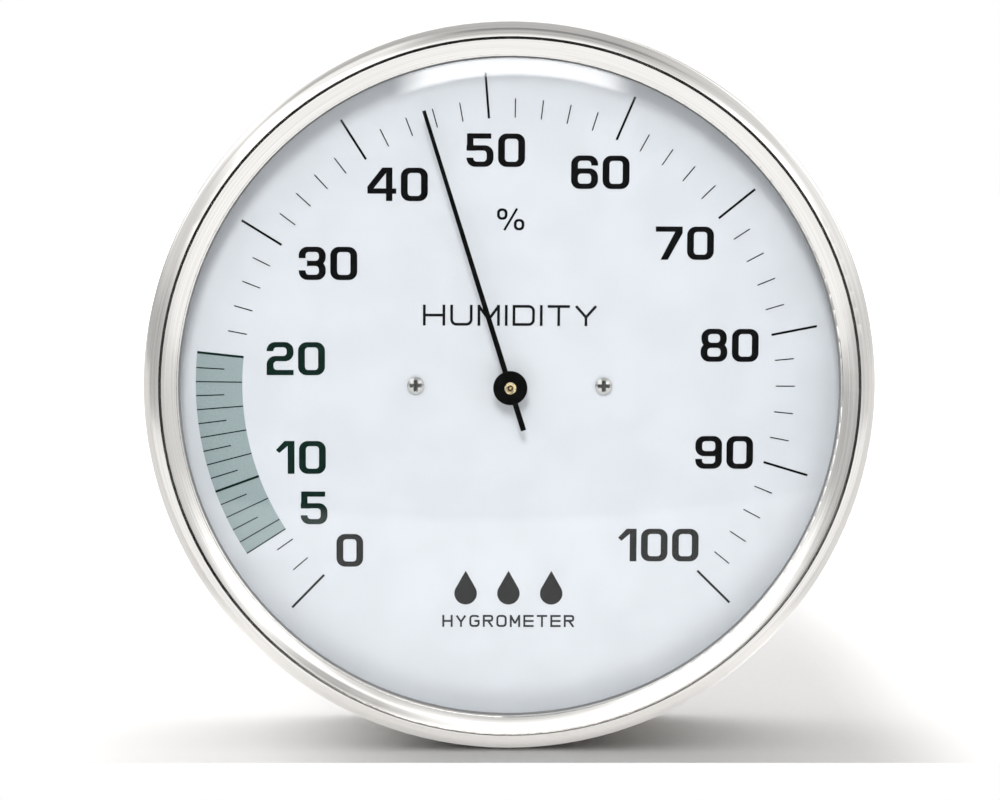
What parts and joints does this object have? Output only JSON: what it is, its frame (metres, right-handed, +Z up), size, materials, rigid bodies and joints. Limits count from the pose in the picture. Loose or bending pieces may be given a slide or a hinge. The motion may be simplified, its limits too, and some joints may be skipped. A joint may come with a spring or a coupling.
{
  "type": "dial hygrometer",
  "caption": "Round wall-mounted dial hygrometer with a brushed steel case, domed glass, white percent dial, black pointer and a hair-driven movement behind it.",
  "frame": {"origin": "centre of the case's rear rim plane, on the dial axis", "axes": "+Z up, the dial faces -Y, the rear rim's outward normal is +Y"},
  "size_m": [0.16, 0.04, 0.16],
  "materials": {
    "case_steel": "circumferentially brushed stainless steel",
    "bezel_steel": "fine turned stainless steel, satin bright",
    "gasket_rubber": "dark grey flat gasket",
    "cover_glass": "clear domed glass",
    "white_plastic": "white moulded ring",
    "dial_white": "cool white satin lacquer on aluminium sheet",
    "black_ink": "matt black screen-printed ink",
    "grey_ink": "matt dark grey screen-printed ink",
    "zone_ink": "translucent grey-green screen-printed ink",
    "green_ink": "dark green screen-printed ink",
    "support_plastic": "light grey moulded ring",
    "cover_steel": "rolled stainless sheet",
    "screw_steel": "bright plated steel",
    "brass": "turned brass",
    "brass_plate": "stamped brass, grained faces",
    "pin_steel": "polished steel pin stock",
    "arbor_brass": "turned brass arbor",
    "collet_brass": "bright turned brass",
    "black_lacquer": "black lacquer on thin aluminium",
    "spring_bronze": "rolled phosphor bronze strip",
    "carrier_steel": "zinc plated steel strip",
    "hair": "bundle of degreased hair"
  },
  "bodies": {
    "housing": {"case_shell": "case_steel", "bezel_ring": "bezel_steel", "glass_gasket": "gasket_rubber", "cover_glass": "cover_glass", "spacer_ring": "white_plastic", "dial_plate": "dial_white", "scale_print": "black_ink", "legend_print": "grey_ink", "comfort_zone_print": "zone_ink", "comfort_marks_print": "green_ink", "dial_support_ring": "support_plastic", "back_cover": "cover_steel", "back_cover_screws": "screw_steel", "dial_screws": "screw_steel", "dial_spacers": "brass", "front_plate": "brass_plate", "movement_pillars": "brass", "rear_plate": "brass_plate", "rear_plate_screws": "screw_steel", "front_bush": "brass", "rear_bush": "brass", "sector_bushes": "brass", "stop_pins": "pin_steel", "hairspring": "spring_bronze", "hairspring_stud": "brass", "hair_bundle": "hair", "anchor_bracket": "carrier_steel", "anchor_pin": "pin_steel", "hair_carrier": "carrier_steel", "carrier_rivets": "pin_steel", "calibration_bush": "brass"},
    "pointer": {"pointer": "black_lacquer", "pointer_collet": "collet_brass", "pointer_arbor": "arbor_brass", "pinion": "brass", "hairspring_collet": "brass"},
    "sector": {"toothed_sector": "brass", "sector_arbor": "pin_steel", "hair_crank": "brass"},
    "hair_hook": {"lower_hair_hook": "pin_steel"},
    "anchor_lever": {"anchor_lever": "brass_plate", "upper_hair_ferrule": "pin_steel"},
    "calibration_screw": {"calibration_screw": "screw_steel"}
  },
  "joints": [
    {"name": "pointer_turn", "type": "hinge", "parent": "housing", "child": "pointer", "pos_m": [0, -0.0244, 0], "axis": [0, 1, 0], "range_deg": [-118.44, 152.06], "deforming": ["hairspring"]},
    {"name": "sector_swing", "type": "hinge", "parent": "housing", "child": "sector", "pos_m": [0, -0.0244, -0.0231], "axis": [0, 1, 0], "range_deg": [-15.22, 11.85], "deforming": ["hair_bundle"]},
    {"name": "hook_pivot", "type": "hinge", "parent": "sector", "child": "hair_hook", "pos_m": [-0.004, -0.0145, -0.02298], "axis": [0, 1, 0], "range_deg": [-11.85, 15.22]},
    {"name": "calibration_turn", "type": "hinge", "parent": "housing", "child": "calibration_screw", "pos_m": [-0.004, -0.011, 0.059], "axis": [0, -1, 0], "range_deg": [-180, 180]},
    {"name": "anchor_tilt", "type": "hinge", "parent": "housing", "child": "anchor_lever", "pos_m": [-0.004, -0.018, 0.05], "axis": [1, 0, 0], "range_deg": [-1.44, 1.44]}
  ],
  "couplings": [
    {"joint": "sector_swing", "follows": "pointer_turn", "ratio": -0.1},
    {"joint": "hook_pivot", "follows": "pointer_turn", "ratio": 0.1},
    {"joint": "anchor_tilt", "follows": "calibration_turn", "ratio": 0.00796}
  ]
}
